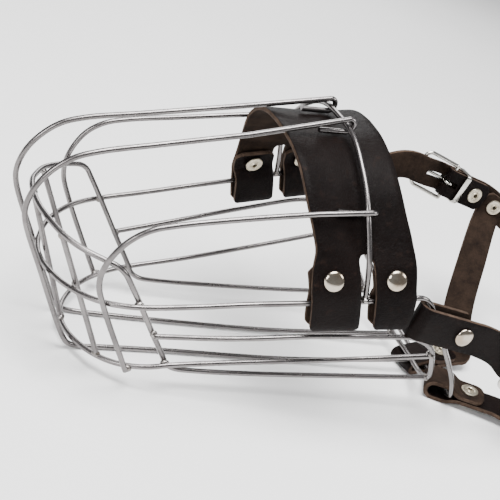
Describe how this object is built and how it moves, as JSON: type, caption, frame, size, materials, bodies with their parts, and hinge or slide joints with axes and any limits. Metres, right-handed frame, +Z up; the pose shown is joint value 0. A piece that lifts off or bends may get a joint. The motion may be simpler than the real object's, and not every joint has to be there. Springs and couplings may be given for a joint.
{
  "type": "basket muzzle",
  "caption": "Wire basket muzzle for a dog: welded nickel wires, a riveted leather nose band, and a leather neck harness with a buckle at each cheek.",
  "frame": {"origin": "centre of the bottom of the bounding box, on the surface the muzzle lies on", "axes": "+X from the nose towards the neck strap, +Y towards the dog's right side, +Z up"},
  "size_m": [0.3428, 0.1467, 0.1318],
  "materials": {
    "nickel_wire": "nickel plated drawn steel wire",
    "dark_leather": "dark brown-black grain leather, raw flesh side",
    "nickel_hardware": "polished nickel plate",
    "washer_steel": "dull plated steel"
  },
  "bodies": {
    "basket": {"nose_hoop_wire": "nickel_wire", "bottom_loop_wire": "nickel_wire", "arch_wire": "nickel_wire", "main_hoop_wire": "nickel_wire", "side_rim_wire": "nickel_wire", "long_wire_left": "nickel_wire", "long_wire_right": "nickel_wire", "outer_wire_left": "nickel_wire", "outer_wire_right": "nickel_wire", "front_bar_left": "nickel_wire", "front_bar_right": "nickel_wire", "front_bar_centre": "nickel_wire", "nose_band": "dark_leather", "band_rivet_left_front_cap": "nickel_hardware", "band_rivet_left_front_washer": "washer_steel", "band_rivet_left_rear_cap": "nickel_hardware", "band_rivet_left_rear_washer": "washer_steel", "cheek_loop_left": "dark_leather", "cheek_rivet_left_cap": "nickel_hardware", "cheek_rivet_left_washer": "washer_steel", "chin_loop_left": "dark_leather", "chin_rivet_left_cap": "nickel_hardware", "chin_rivet_left_washer": "washer_steel", "band_rivet_right_front_cap": "nickel_hardware", "band_rivet_right_front_washer": "washer_steel", "band_rivet_right_rear_cap": "nickel_hardware", "band_rivet_right_rear_washer": "washer_steel", "cheek_loop_right": "dark_leather", "cheek_rivet_right_cap": "nickel_hardware", "cheek_rivet_right_washer": "washer_steel", "chin_loop_right": "dark_leather", "chin_rivet_right_cap": "nickel_hardware", "chin_rivet_right_washer": "washer_steel"},
    "harness": {"neck_strap": "dark_leather", "cheek_strap_left": "dark_leather", "jaw_strap_left": "dark_leather", "neck_rivet_left_cap": "nickel_hardware", "neck_rivet_left_washer": "washer_steel", "jaw_rivet_left_cap": "nickel_hardware", "jaw_rivet_left_washer": "washer_steel", "cheek_strap_right": "dark_leather", "jaw_strap_right": "dark_leather", "neck_rivet_right_cap": "nickel_hardware", "neck_rivet_right_washer": "washer_steel", "jaw_rivet_right_cap": "nickel_hardware", "jaw_rivet_right_washer": "washer_steel"},
    "buckle_frame_left": {"buckle_frame_left": "nickel_hardware"},
    "buckle_tongue_left": {"buckle_tongue_left": "nickel_hardware"},
    "keeper_left": {"keeper_left": "nickel_hardware"},
    "buckle_frame_right": {"buckle_frame_right": "nickel_hardware"},
    "buckle_tongue_right": {"buckle_tongue_right": "nickel_hardware"},
    "keeper_right": {"keeper_right": "nickel_hardware"}
  },
  "joints": [
    {"name": "harness_fold", "type": "hinge", "parent": "basket", "child": "harness", "pos_m": [0.00835, 0, 0.06595], "axis": [0, -1, 0], "range_deg": [0, 6]},
    {"name": "buckle_swing_left", "type": "hinge", "parent": "harness", "child": "buckle_frame_left", "pos_m": [0.07299, -0.064, 0.03899], "axis": [0.4655, 0, 0.8851], "range_deg": [0, 3]},
    {"name": "tongue_swing_left", "type": "hinge", "parent": "buckle_frame_left", "child": "buckle_tongue_left", "pos_m": [0.07299, -0.064, 0.03899], "axis": [0.4655, 0, 0.8851], "range_deg": [0, 3]},
    {"name": "keeper_slide_left", "type": "slide", "parent": "harness", "child": "keeper_left", "axis": [0.8851, 0, -0.4655], "range_m": [-0.002, 0.002]},
    {"name": "buckle_swing_right", "type": "hinge", "parent": "harness", "child": "buckle_frame_right", "pos_m": [0.07768, 0.064, 0.07962], "axis": [-0.2035, 0, -0.9791], "range_deg": [0, 3]},
    {"name": "tongue_swing_right", "type": "hinge", "parent": "buckle_frame_right", "child": "buckle_tongue_right", "pos_m": [0.07768, 0.064, 0.07962], "axis": [-0.2035, 0, -0.9791], "range_deg": [0, 3]},
    {"name": "keeper_slide_right", "type": "slide", "parent": "harness", "child": "keeper_right", "axis": [0.9791, 0, -0.2035], "range_m": [-0.002, 0.002]}
  ]
}
